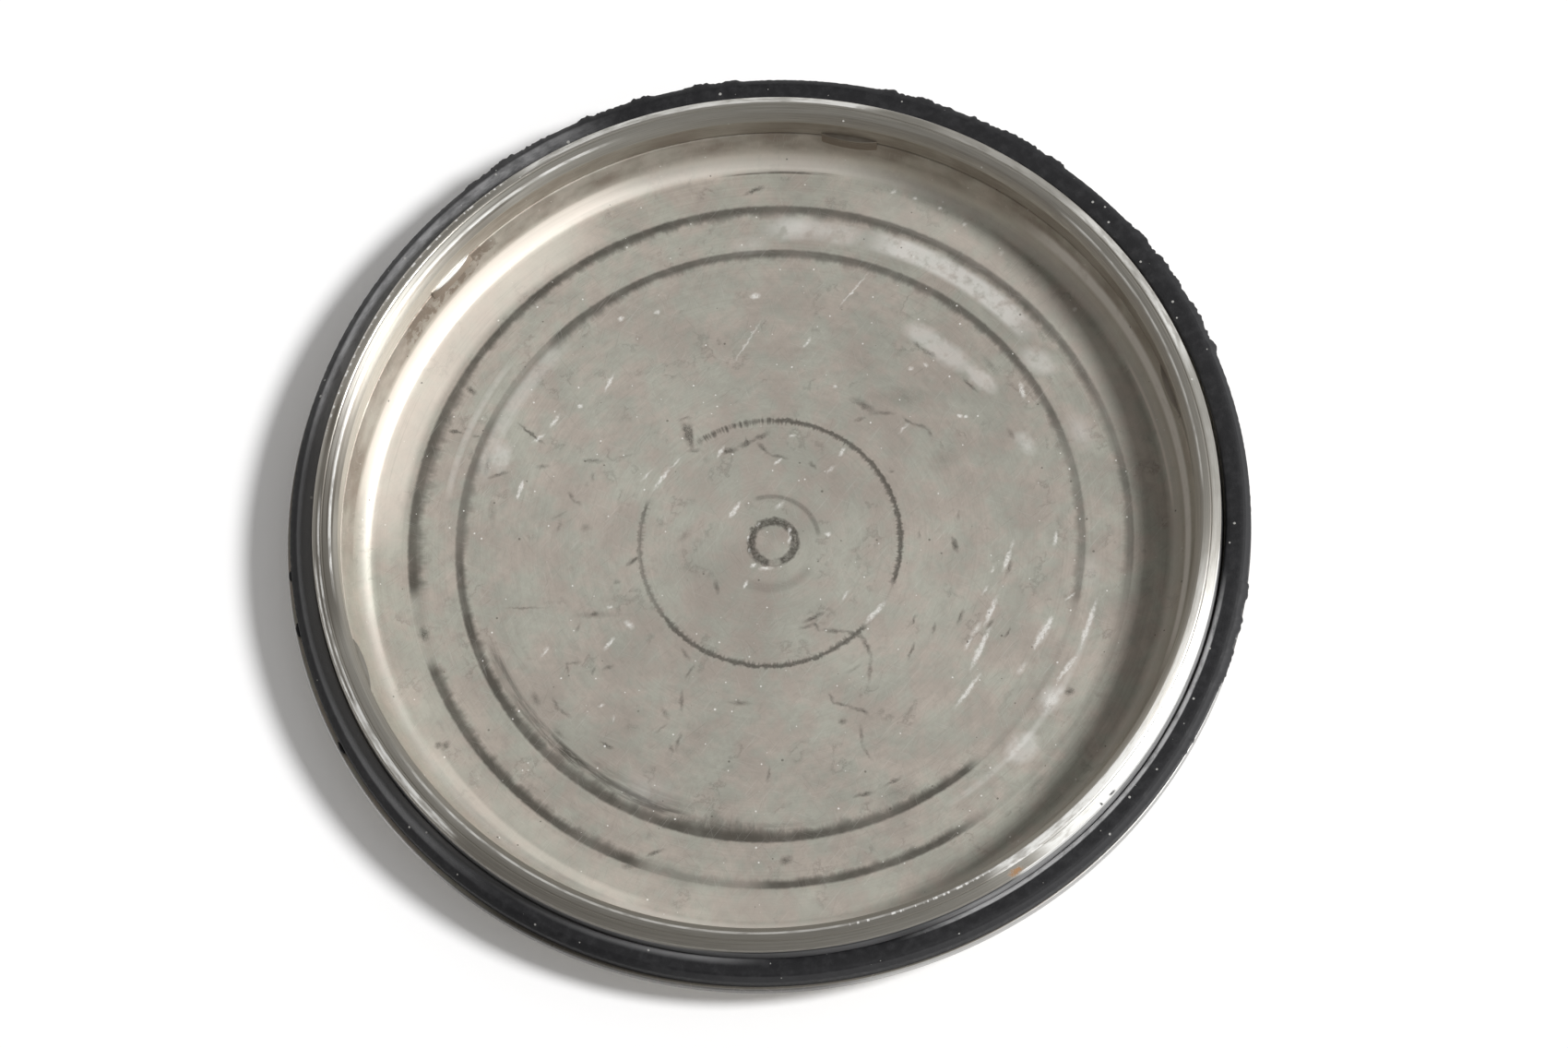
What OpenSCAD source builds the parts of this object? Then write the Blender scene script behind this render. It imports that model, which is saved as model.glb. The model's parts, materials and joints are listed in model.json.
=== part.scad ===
// Open half of a round metal polish tin: a shallow pan, the neck ring that stands on its
// flange, and the rubber seal ring that lies round the neck. Lengths are in millimetres.
// The origin is the centre of the underside, and the open mouth looks along +Z.

/* [Neck ring] */
// Bore of the neck ring, which is also the mouth of the pan
bore_d = 74.7; // [70:0.1:100]
// Wall of the neck at its straight spigot, which the other half slips over
neck_wall = 2.2; // [1.6:0.1:4]
// Height of the neck above the flange
neck_h = 3.4; // [2.8:0.1:8]
// Extra radius at the foot of the taper that the seal ring lies round
taper_w = 0.2; // [0.1:0.05:0.4]
// How far the taper goes on above the seal ring
taper_over = 0.2; // [0.1:0.05:0.5]
// Width of the shallow bevel on the outer edge of the rim
outer_bevel_w = 0.75; // [0.2:0.05:0.8]
// Height of the shallow bevel on the outer edge of the rim
outer_bevel_h = 0.25; // [0.05:0.05:0.4]
// Bevel on the inner edge of the rim
inner_bevel = 0.6; // [0.1:0.05:0.7]
// Bevel on the inner edge of the neck's foot
foot_bevel = 0.3; // [0.1:0.05:0.5]
// Width of the fine groove between the rim's flat and its outer bevel
rim_groove_w = 0.2; // [0.05:0.05:0.25]
// Depth of the fine groove between the rim's flat and its outer bevel
rim_groove_depth = 0.08; // [0.03:0.01:0.2]

/* [Locating lugs] */
// Number of lugs round the foot of the neck
lug_count = 6; // [2:1:10]
// Direction of the first lug, in degrees from +X
lug_first = 9; // [0:0.5:60]
// Width of a lug along the bore
lug_w = 5; // [2:0.1:8]
// How far a lug stands in from the bore
lug_in = 0.5; // [0.3:0.05:0.9]
// Height of a lug's ledge above the flange
lug_ledge = 0.7; // [0.4:0.1:1.5]
// How far a lug hangs below the top of the flange
lug_drop = 0.9; // [0.4:0.1:1.5]
// Gap between a lug and the wall of the pan
lug_clearance = 0.05; // [0.02:0.01:0.15]

/* [Seal ring] */
// Width of the seal ring's section
seal_w = 2; // [1.6:0.05:4]
// Height of the seal ring
seal_h = 1.6; // [1:0.1:2.2]
// Width of the chamfer on the outer top edge
seal_chamfer_w = 0.6; // [0.1:0.05:0.7]
// Height of the chamfer on the outer top edge
seal_chamfer_h = 0.5; // [0.1:0.05:0.8]
// Bevel on the inner top edge
seal_bevel = 0.4; // [0.1:0.05:0.6]
// Gap between the seal ring and the foot of the neck's taper
seal_clearance = 0.1; // [0.05:0.01:0.3]

/* [Pan] */
// Thickness of the sheet
sheet = 0.9; // [0.5:0.1:1.5]
// Depth from the top of the flange down to the floor
pan_depth = 3.4; // [2.6:0.1:8]
// Lean of the wall from the vertical, in degrees
wall_lean = 24; // [10:1:30]
// Slope of the wall where it leaves the floor at a crease, in degrees
crease_slope = 18; // [5:1:30]
// Radius of the sweep from the crease up to the leaning wall, inside
sweep_r = 2.2; // [0.8:0.1:3]
// Round on the edge between the wall and the flange
mouth_round = 0.2; // [0.1:0.05:0.4]
// Width of the flange that shows outside the seal ring
flange_lip = 0.25; // [0.05:0.05:2]
// Round on the outer edges of the flange
lip_round = 0.2; // [0.05:0.05:0.25]

/* [Floor marks] */
// Diameter of the outer ring groove, at its middle
outer_groove_d = 62.9; // [58:0.1:63]
// Diameter of the inner ring groove, at its middle
inner_groove_d = 54.5; // [30:0.1:56]
// Width of the ring grooves
groove_w = 0.9; // [0.4:0.1:1.5]
// Depth of the ring grooves
groove_depth = 0.12; // [0.05:0.01:0.3]
// Diameter of the scribed circle
scribe_d = 22.9; // [12:0.1:26]
// Width of the scribed line
scribe_w = 0.3; // [0.1:0.05:0.5]
// Depth of the scribed line
scribe_depth = 0.06; // [0.03:0.01:0.15]
// Diameter of the ring round the centre mark, at its middle
centre_mark_d = 4.2; // [2:0.1:8]
// Width of the ring round the centre mark
centre_mark_w = 0.5; // [0.2:0.05:0.8]
// Depth of the ring round the centre mark
centre_mark_depth = 0.12; // [0.05:0.01:0.3]

/* [Hidden] */
$fn = 180;
arc_steps = 12;

bore_r = bore_d / 2;
spigot_r = bore_r + neck_wall;
taper_r = spigot_r + taper_w;
seal_bore_r = taper_r + seal_clearance;
seal_r = seal_bore_r + seal_w;
flange_r = seal_r + flange_lip;

floor_z = sheet;
flange_z = floor_z + pan_depth;
seal_z = flange_z + seal_h;
spigot_z = seal_z + taper_over;
rim_z = flange_z + neck_h;
rim_groove_r = spigot_r - outer_bevel_w - rim_groove_w / 2;

lug_angle = 2 * asin(lug_w / 2 / bore_r);
lug_run = lug_drop * tan(wall_lean);
lug_back_r = bore_r - lug_clearance / cos(wall_lean);

// The floor is flat out to the crease, where the sweep starts
sweep_run = sweep_r * (cos(wall_lean) - sin(crease_slope));
sweep_rise = sweep_r * (cos(crease_slope) - sin(wall_lean));
floor_r = bore_r - sweep_run - (pan_depth - sweep_rise) * tan(wall_lean);
sweep_centre = [floor_r - sweep_r * sin(crease_slope), floor_z + sweep_r * cos(crease_slope)];
under_crease_r = floor_r + sheet * tan(crease_slope / 2);
mouth_centre = [bore_r + mouth_round * (1 - sin(wall_lean)) / cos(wall_lean), flange_z - mouth_round];
under_corner_r = bore_r + sheet * (1 - sin(wall_lean)) / cos(wall_lean);

metal = [0.66, 0.64, 0.6];
bright_metal = [0.74, 0.73, 0.69];
rubber = [0.17, 0.17, 0.18];

// Points on an arc about a centre, from one angle to another
function arc(centre, r, from, to) =
    [for (i = [0:arc_steps]) let (a = from + (to - from) * i / arc_steps)
        [centre[0] + r * cos(a), centre[1] + r * sin(a)]];

// A V-shaped groove round the axis, cut down from a flat face at height z
module ring_groove(r, w, depth, z) {
    over = depth;
    half = w / 2 * (depth + over) / depth;
    rotate_extrude()
        polygon([[r - half, z + over], [r, z - depth], [r + half, z + over]]);
}

module pan_blank() {
    top_side = concat(
        [[0, floor_z]],
        arc(sweep_centre, sweep_r, crease_slope - 90, -wall_lean),
        arc(mouth_centre, mouth_round, 180 - wall_lean, 90)
    );
    lip = concat(
        arc([flange_r - lip_round, flange_z - lip_round], lip_round, 90, 0),
        arc([flange_r - lip_round, flange_z - sheet + lip_round], lip_round, 0, -90)
    );
    underside = concat(
        [[under_corner_r, flange_z - sheet]],
        arc(sweep_centre, sweep_r + sheet, -wall_lean, crease_slope - 90),
        [[under_crease_r, 0], [0, 0]]
    );
    rotate_extrude() polygon(concat(top_side, lip, underside));
}

module pan() {
    color(metal)
        difference() {
            pan_blank();
            ring_groove(outer_groove_d / 2, groove_w, groove_depth, floor_z);
            ring_groove(inner_groove_d / 2, groove_w, groove_depth, floor_z);
            ring_groove(scribe_d / 2, scribe_w, scribe_depth, floor_z);
            ring_groove(centre_mark_d / 2, centre_mark_w, centre_mark_depth, floor_z);
        }
}

// A lug stands in from the bore on a ledge, then hangs down along the wall of the pan
module lug() {
    rotate([0, 0, -lug_angle / 2])
        rotate_extrude(angle = lug_angle)
            polygon([
                [bore_r + foot_bevel, flange_z + lug_ledge],
                [bore_r - lug_in, flange_z + lug_ledge],
                [bore_r - lug_in, flange_z],
                [bore_r - lug_in - lug_run, flange_z - lug_drop],
                [lug_back_r - lug_run, flange_z - lug_drop],
                [lug_back_r, flange_z],
                [bore_r + foot_bevel, flange_z]
            ]);
}

module neck_blank() {
    rotate_extrude()
        polygon([
            [bore_r + foot_bevel, flange_z],
            [taper_r, flange_z],
            [spigot_r, spigot_z],
            [spigot_r, rim_z - outer_bevel_h],
            [spigot_r - outer_bevel_w, rim_z],
            [bore_r + inner_bevel, rim_z],
            [bore_r, rim_z - inner_bevel],
            [bore_r, flange_z + foot_bevel]
        ]);
}

module neck_ring() {
    color(bright_metal) {
        difference() {
            neck_blank();
            ring_groove(rim_groove_r, rim_groove_w, rim_groove_depth, rim_z);
        }
        for (i = [0:lug_count - 1])
            rotate([0, 0, lug_first + i * 360 / lug_count]) lug();
    }
}

module seal_ring() {
    color(rubber)
        rotate_extrude()
            polygon([
                [seal_bore_r, flange_z],
                [seal_r, flange_z],
                [seal_r, seal_z - seal_chamfer_h],
                [seal_r - seal_chamfer_w, seal_z],
                [seal_bore_r + seal_bevel, seal_z],
                [seal_bore_r, seal_z - seal_bevel]
            ]);
}

pan();
neck_ring();
seal_ring();
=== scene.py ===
import json
import math

import bmesh
import bpy
import numpy as np
from mathutils import Matrix, Vector


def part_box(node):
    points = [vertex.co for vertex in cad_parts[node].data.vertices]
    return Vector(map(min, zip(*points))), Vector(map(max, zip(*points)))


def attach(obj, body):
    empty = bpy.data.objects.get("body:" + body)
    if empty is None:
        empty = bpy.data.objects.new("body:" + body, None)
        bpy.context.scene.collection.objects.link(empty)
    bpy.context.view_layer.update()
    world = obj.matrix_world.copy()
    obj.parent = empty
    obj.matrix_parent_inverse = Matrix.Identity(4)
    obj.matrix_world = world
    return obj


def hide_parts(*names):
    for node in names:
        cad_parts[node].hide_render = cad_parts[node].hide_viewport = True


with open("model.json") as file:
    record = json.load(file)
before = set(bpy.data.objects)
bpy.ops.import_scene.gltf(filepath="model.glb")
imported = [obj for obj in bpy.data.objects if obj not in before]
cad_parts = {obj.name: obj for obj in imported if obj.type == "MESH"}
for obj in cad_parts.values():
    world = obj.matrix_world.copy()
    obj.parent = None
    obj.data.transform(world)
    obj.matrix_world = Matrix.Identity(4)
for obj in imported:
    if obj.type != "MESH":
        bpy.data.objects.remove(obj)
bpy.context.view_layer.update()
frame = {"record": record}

# Sizes of the tin in millimetres; levels and the spigot come from the frame
MM = 0.001
SHEET = 0.9
FLOOR_Z = SHEET
FLANGE_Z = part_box("pan")[1].z / MM
SEAL_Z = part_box("seal_ring")[1].z / MM
RIM_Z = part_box("neck_ring")[1].z / MM
SPIGOT_R = next(m for m in frame["record"]["mounts"] if m["name"] == "neck_spigot")["dims"]["r_mm"]
NECK_WALL = 2.2
BORE_R = SPIGOT_R - NECK_WALL
TAPER_R = SPIGOT_R + 0.2
FLANGE_R = 42.1
FLOOR_R = 35.04
WALL_LEAN = 24
CREASE_SLOPE = 18
SWEEP_R = 2.2
GROOVES = (27.25, 31.45)
SCRIBE_R = 11.45
MARK_R = 2.1
MARK_SHIFT = (0.25, 0.0)
LUG_COUNT = 6
LUG_FIRST = 9.0
LUG_W = 5.0
SEAL_IN = TAPER_R + 0.1
SEAL_OUT = SEAL_IN + 2.05
SEAL_SHIFT = (0.22, 0.12)

# Camera: the photograph's view, in pixels of its 1700 x 1136 frame
IMAGE_W = 1700
FOCAL_PX = 9767
PX_PER_MM = 12.39
ELEVATION = math.radians(69.45)
ROLL = math.radians(10.4)
CENTRE_OFFSET_PX = (15.15, 20.17)
SENSOR_MM = 36
NEAREST = 0.01


def add_object(name, data):
    made = bpy.data.objects.new(name, data)
    bpy.context.collection.objects.link(made)
    return made


def add_camera():
    focus = Vector((0, 0, FLOOR_Z)) * MM
    back = Vector((0, -math.cos(ELEVATION), math.sin(ELEVATION)))
    across = Vector((1, 0, 0))
    upward = Vector((0, math.sin(ELEVATION), math.cos(ELEVATION)))
    right = across * math.cos(ROLL) - upward * math.sin(ROLL)
    up = across * math.sin(ROLL) + upward * math.cos(ROLL)
    eye = focus + back * (FOCAL_PX / PX_PER_MM * MM)
    aim = focus + (right * CENTRE_OFFSET_PX[0] + up * CENTRE_OFFSET_PX[1]) / PX_PER_MM * MM
    back = (eye - aim).normalized()
    right = up.cross(back).normalized()
    up = back.cross(right)
    data = bpy.data.cameras.new("camera")
    data.sensor_width = SENSOR_MM
    data.lens = FOCAL_PX / IMAGE_W * data.sensor_width
    data.clip_start = NEAREST
    camera = add_object("camera", data)
    camera.matrix_world = Matrix.Translation(eye) @ Matrix((right, up, back)).transposed().to_4x4()
    bpy.context.scene.camera = camera


# Node trees
class Shader:
    """Short calls that build one node tree, with sockets or plain numbers as inputs.

    Inputs come by name or by position, and an input of None is left as it is.
    """

    def __init__(self, tree):
        self.tree = tree
        tree.nodes.clear()

    def node(self, kind, inputs=(), **settings):
        made = self.tree.nodes.new("ShaderNode" + kind)
        for key, value in settings.items():
            setattr(made, key, value)
        for key, value in dict(inputs).items():
            self.put(made.inputs[key], value)
        return made

    def put(self, socket, value):
        if isinstance(value, bpy.types.NodeSocket):
            self.tree.links.new(value, socket)
        elif value is not None:
            socket.default_value = value

    def math(self, operation, a, b=None, c=None, clamp=False):
        inputs = enumerate((a, b, c))
        return self.node("Math", inputs, operation=operation, use_clamp=clamp).outputs[0]

    def product(self, first, *others):
        for other in others:
            first = self.math("MULTIPLY", first, other)
        return first

    def largest(self, first, *others):
        for other in others:
            first = self.math("MAXIMUM", first, other)
        return first

    def linear(self, value, slope, base):
        return self.math("MULTIPLY_ADD", value, slope, base)

    def capped(self, value, most=1.0):
        return self.math("MINIMUM", value, most)

    def rest(self, value):
        """What is left of 1 without the value."""
        return self.math("SUBTRACT", 1.0, value)

    def vector(self, operation, a, b=None):
        made = self.node("VectorMath", enumerate((a, b)), operation=operation)
        return made.outputs["Value" if operation in ("LENGTH", "DOT_PRODUCT") else "Vector"]

    def scaled(self, vector, by):
        return self.node("VectorMath", {0: vector, "Scale": by}, operation="SCALE").outputs[0]

    def ramp(self, value, low, high, out_low=0.0, out_high=1.0):
        """Smooth step from out_low at low to out_high at high."""
        inputs = enumerate((value, low, high, out_low, out_high))
        return self.node("MapRange", inputs, interpolation_type="SMOOTHSTEP").outputs[0]

    def noise(self, vector, scale, detail=2.0, roughness=0.5):
        inputs = {"Vector": vector, "Scale": scale, "Detail": detail, "Roughness": roughness}
        return self.node("TexNoise", inputs).outputs[0]

    def cells(self, vector, scale):
        """Distance to the nearest cell point, and a random number for each cell."""
        made = self.node("TexVoronoi", {"Vector": vector, "Scale": scale})
        return made.outputs["Distance"], made.outputs["Color"]

    def mix(self, factor, a, b, blend="MIX"):
        inputs = {"Factor": factor, "A": a, "B": b}
        return self.node("Mix", inputs, data_type="RGBA", blend_type=blend).outputs["Result"]

    def mapped(self, vector, location, turn, scale):
        """The vector in a frame that is moved, turned about Z in radians, and scaled."""
        inputs = {"Vector": vector, "Location": location, "Rotation": (0, 0, turn), "Scale": scale}
        return self.node("Mapping", inputs, vector_type="TEXTURE").outputs[0]


def rgb(r, g, b):
    return (r, g, b, 1.0)


# How far strokes and stains waver, in millimetres, and the scale of it
WOBBLE = 0.5
WOBBLE_SCALE = 2.2
# Strength of a stroke in its middle, before it is capped
STROKE_GAIN = 1.6
# Width of the fine scratches strewn over the floor
SCRATCH_W = 0.11


class Polar(Shader):
    """A material's tree with the radius, direction and height of each point, in millimetres."""

    def __init__(self, name):
        self.material = bpy.data.materials.new(name)
        self.material.use_nodes = True
        super().__init__(self.material.node_tree)
        self.place = self.scaled(self.node("TexCoord").outputs["Object"], 1 / MM)
        split = self.node("SeparateXYZ", {0: self.place}).outputs
        self.height = split["Z"]
        self.flat = self.node("CombineXYZ", {"X": split["X"], "Y": split["Y"]}).outputs[0]
        self.radius = self.vector("LENGTH", self.flat)
        self.direction = self.vector("NORMALIZE", self.flat)
        inputs = {"Vector": self.place, "Scale": WOBBLE_SCALE, "Detail": 3.0}
        wobble = self.node("TexNoise", inputs).outputs["Color"]
        wobble = self.scaled(self.vector("SUBTRACT", wobble, (0.5, 0.5, 0.5)), WOBBLE)
        self.ragged = self.vector("MULTIPLY", self.vector("ADD", self.flat, wobble), (1, 1, 0))

    def ring(self, along, across, height=0.0):
        """Vector whose noise streaks round the axis (small along) or out from it (large along)."""
        lift = self.product(self.radius, across)
        if height:
            lift = self.linear(self.height, height, lift)
        up = self.node("CombineXYZ", {"Z": lift}).outputs[0]
        return self.vector("ADD", self.scaled(self.direction, along), up)

    def sector(self, centre, half, soft):
        """1 within half degrees of the direction centre, falling to 0 over soft degrees."""
        angle = math.radians(centre)
        near = self.vector("DOT_PRODUCT", self.direction, (math.cos(angle), math.sin(angle), 0))
        return self.ramp(near, math.cos(math.radians(half + soft)), math.cos(math.radians(half)))

    def band(self, centre, half, soft, value=None):
        """1 within half millimetres of the radius centre, falling to 0 over soft millimetres."""
        value = self.radius if value is None else value
        off = self.math("ABSOLUTE", self.math("SUBTRACT", value, centre))
        return self.ramp(off, half + soft, half)

    def marks(self, strokes):
        """Soft tapered strokes on the flat: (x0, y0, x1, y1, half width, strength) in millimetres."""
        total = None
        for x0, y0, x1, y1, half, strength in strokes:
            length = math.hypot(x1 - x0, y1 - y0)
            middle = ((x0 + x1) / 2, (y0 + y1) / 2, 0)
            turn = math.atan2(y1 - y0, x1 - x0)
            place = self.mapped(self.ragged, middle, turn, (length / 2 + half, half, 1))
            blob = self.node("TexGradient", {0: place}, gradient_type="SPHERICAL")
            total = self.linear(blob.outputs["Fac"], STROKE_GAIN * strength, total or 0.0)
        return self.capped(total)

    def gaps(self, sectors):
        """1 all round, less each sector's share: (direction, half angle, softness, share).

        A share below 0 adds.
        """
        left = None
        for direction, half, soft, share in sectors:
            kept = self.linear(self.sector(direction, half, soft), -share, 1.0)
            left = kept if left is None else self.product(left, kept)
        return left

    def arcs(self, rows):
        """Sum of bands, each kept within a sector and given a strength."""
        total = None
        for radius, half, soft, direction, half_angle, soft_angle, strength in rows:
            across = self.band(radius, half, soft)
            part = self.product(across, self.sector(direction, half_angle, soft_angle))
            total = self.linear(part, strength, total or 0.0)
        return total

    def specks(self, scale, size, share):
        """Small round specks in the cells whose random number is over share."""
        distance, random = self.cells(self.place, scale)
        split = self.node("SeparateColor", {0: random})
        chosen = self.math("GREATER_THAN", split.outputs[0], share)
        reach = self.product(split.outputs[1], size * scale)
        return self.product(chosen, self.math("LESS_THAN", distance, reach))

    def strewn(self, rows):
        """Layers of fine straight scratches: (angle in degrees, length in millimetres, strength)."""
        for angle, length, strength in rows:
            turned = self.mapped(self.place, (angle, 0, 0), math.radians(angle), (length, SCRATCH_W, 1))
            yield self.product(self.ramp(self.noise(turned, 1.0, 1.0), 0.64, 0.76), strength)

    def finish(self, shader, bumps):
        """Links the shader, with bumps given as (height in millimetres, socket)."""
        normal = None
        for height, value in bumps:
            inputs = {"Strength": 1.0, "Distance": height * MM, "Height": value, "Normal": normal}
            normal = self.node("Bump", inputs).outputs[0]
        self.put(shader.inputs["Normal"], normal)
        self.node("OutputMaterial", {"Surface": shader.outputs[0]})
        return self.material


def round_brushed(tree, anisotropy, colour, metallic, roughness):
    """A metal shader whose gloss is drawn out across the turning marks."""
    tangent = tree.node("Tangent", direction_type="RADIAL", axis="Z").outputs[0]
    inputs = {"Anisotropic": anisotropy, "Anisotropic Rotation": 0.25, "Tangent": tangent}
    inputs |= {"Base Color": colour, "Metallic": metallic, "Roughness": roughness}
    return tree.node("BsdfPrincipled", inputs)


# Marks on the floor of the pan: (x0, y0, x1, y1, half width, strength) in millimetres
DARK_MARKS = (
    # upper left
    (-26.2, 15.9, -24.8, 15.3, 0.22, 0.9), (-24, 14.9, -23.3, 14.7, 0.16, 0.5),
    (-20, 15.4, -17.9, 12.8, 0.2, 0.9), (-23.7, 19.4, -23.3, 18.9, 0.35, 0.8),
    (-23.4, 10.7, -21.4, 11, 0.22, 0.6), (-22.9, 12.8, -23.5, 11.2, 0.35, 0.5),
    (-18.9, 10.9, -18, 10.8, 0.32, 0.5), (-14.9, 10.8, -13, 10.3, 0.25, 0.5),
    (-12.8, 10.3, -10, 10.5, 0.2, 0.3), (-16.6, 8, -16.3, 7.3, 0.25, 0.5),
    (-16.3, 7.2, -15.7, 6.7, 0.22, 0.4), (-17, 6.3, -18.6, 5.8, 0.2, 0.3),
    (-18.1, 4.7, -17.8, 5.4, 0.28, 0.4), (-14.4, 8.7, -14.2, 9.4, 0.22, 0.4),
    (-15.8, 4.5, -15.5, 4.5, 0.5, 0.35), (-12.6, 0.4, -11.3, 1, 0.28, 0.9),
    (-23.4, 8.5, -23.6, 6.5, 0.5, 0.3), (-7.9, 1.6, -6.6, 2.6, 0.45, 0.3),
    # round the top of the scribed circle
    (-5.7, 12.5, -5.3, 10, 0.42, 0.6), (-5, 12.5, -5.2, 10, 0.36, 0.55),
    (-5.4, 12.3, -5.3, 11.2, 0.45, 0.6), (-6, 12.9, -4.7, 12.9, 0.22, 0.4),
    (-5.6, 9.8, -4.5, 9.7, 0.25, 0.4), (-2.6, 9.2, -1.5, 9.1, 0.36, 0.8), (-1.2, 9.4, 0.2, 9.7, 0.28, 0.7),
    (-0.5, 9.3, -0.4, 10.1, 0.22, 0.6), (0.2, 9.8, 1.6, 10.1, 0.34, 0.7), (0.6, 9.3, 1.2, 8.3, 0.28, 0.7),
    (1.2, 8.3, 2.9, 7.4, 0.2, 0.6), (4.8, 6.6, 5, 6.2, 0.3, 0.6), (3.4, 32.9, 5.1, 33.3, 0.28, 0.9),
    # upper right
    (9.4, 11.9, 11.2, 10.2, 0.5, 0.6), (11.2, 10.2, 12.8, 9.8, 0.25, 0.5), (9.4, 9.8, 10, 9.9, 0.25, 0.5),
    (13.5, 9.3, 14.2, 8.5, 0.24, 0.6), (14.2, 8.6, 15.5, 7.8, 0.24, 0.5), (15.4, 7.7, 15.6, 7.1, 0.2, 0.5),
    (15.6, 16.2, 16.3, 15.2, 0.24, 0.6), (16.3, 15.2, 17.4, 14.4, 0.24, 0.6),
    (19.3, 11.9, 20.3, 10.4, 0.22, 0.8), (12.4, 11.6, 15.8, 10.6, 1.3, 0.25),
    (22.3, 6.4, 22.7, 5.5, 0.32, 0.4), (21.4, 13.6, 22.5, 11.5, 0.4, 0.35),
    (11.5, 4.5, 11.7, 4.5, 0.22, 0.5), (15.8, 4.8, 16.6, 4.8, 1.3, 0.2),
    # lower right
    (10.8, -9.9, 11.4, -9.2, 0.2, 0.6), (10, -12.9, 10.8, -11.6, 0.2, 0.7),
    (12.5, -11.1, 12.9, -10.1, 0.2, 0.5), (14.8, -10.6, 15.5, -9.4, 0.22, 0.7),
    (18.6, -12.6, 19.2, -11.8, 0.18, 0.6), (17.2, -11.5, 17.9, -10.8, 0.2, 0.6),
    (19.8, -6.9, 20.5, -5.6, 0.24, 0.6), (15.8, -2.7, 15.9, -3.9, 0.32, 0.8),
    (16.6, -1.1, 16.7, -0.2, 0.2, 0.4), (12.9, -2.1, 13, -1.3, 0.18, 0.4),
    (23.1, -18.6, 23.4, -18.6, 0.45, 0.7), (6, -25, 8, -24.6, 1.2, 0.35),
    (3.1, -24.5, 5, -24.4, 0.28, 0.7), (6, -24, 7.5, -23.5, 0.24, 0.6), (18, -27, 20, -25.5, 0.3, 0.3),
    # the long squiggle below the scribed circle
    (1.5, -7.9, 3.6, -7.3, 0.24, 0.8), (1, -8.4, 2.8, -8.2, 0.22, 0.5), (2.4, -7.9, 2.9, -8.9, 0.22, 0.5),
    (3, -8.8, 5.3, -9.5, 0.26, 0.6), (5.2, -9.4, 6.5, -10.2, 0.28, 0.7), (6.4, -10.1, 6.9, -12, 0.32, 0.7),
    (6.9, -12, 6.2, -14.6, 0.28, 0.5), (2.7, -14.8, 2.9, -15.7, 0.24, 0.6),
    (2.9, -15.7, 4.3, -16.3, 0.22, 0.6), (4.2, -16.3, 5.6, -17.1, 0.22, 0.5),
    (5.3, -16.8, 5.6, -17.3, 0.3, 0.5), (4.9, -18, 4.7, -20, 0.24, 0.5), (4.7, -20, 5.3, -21.5, 0.22, 0.4),
    (4.4, -13.2, 6, -12.7, 0.18, 0.3), (3.2, -17.5, 3.5, -17.5, 0.35, 0.6),
    # lower left
    (-6, -13.9, -4.2, -14.4, 0.32, 0.5), (-5.3, -2.7, -5.3, -3.7, 0.3, 0.6),
    (-9.3, -8.1, -8.7, -9.4, 0.26, 0.5), (-8.4, -9.9, -9.4, -11, 0.2, 0.5),
    (-9.9, -12, -10.2, -14, 0.26, 0.55), (-10.6, -15.8, -11.3, -17.4, 0.22, 0.5),
    (-24, -1.5, -20.3, -2.2, 0.18, 0.45), (-18, -3.4, -14.5, -3.9, 0.42, 0.35),
    (-16.4, -3.6, -16.1, -3.6, 0.28, 0.5), (-14.2, -2.8, -12, -3, 0.3, 0.25),
    (-13.9, -1, -13.7, -1, 0.28, 0.4), (-18, -4.9, -17.6, -4.2, 0.22, 0.4),
    (-19.4, -8.6, -19.3, -7.6, 0.2, 0.5), (-19.3, -7.7, -18.1, -7.8, 0.2, 0.45),
    (-17.3, -9, -17, -8.5, 0.2, 0.5), (-16.3, -8.8, -15.4, -8.6, 0.2, 0.5),
    (-22.7, -9.8, -22.4, -10.9, 0.4, 0.45), (-21, -10.7, -20.8, -11.6, 0.24, 0.5),
    (-20.8, -11.6, -19.8, -12.6, 0.24, 0.5), (-21.5, -13.4, -20.6, -14.4, 0.28, 0.4),
    (-17.6, -15.4, -16.6, -16.2, 0.26, 0.8), (-12.9, -15.5, -11.6, -14.8, 0.2, 0.4),
    (-11.8, -13.4, -11.5, -14.2, 0.36, 0.4), (-11.7, -16.8, -11.6, -17.6, 0.26, 0.4),
    (-15.4, -26.4, -13.9, -26.1, 0.28, 0.7), (-31.2, -2.1, -31.2, -3.1, 0.6, 0.8),
    (-26.6, -17.2, -26.2, -17.2, 0.4, 0.6), (-17.4, -27, -16.6, -27, 0.4, 0.6),
    (-3.8, -29.1, -3.4, -29.1, 0.6, 0.7), (-31, -13.2, -30.8, -13, 0.45, 0.9),
    (-31.7, -13, -31.5, -12.9, 0.35, 0.9), (-3.5, -20.3, -4, -21.8, 0.22, 0.5),
)
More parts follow.
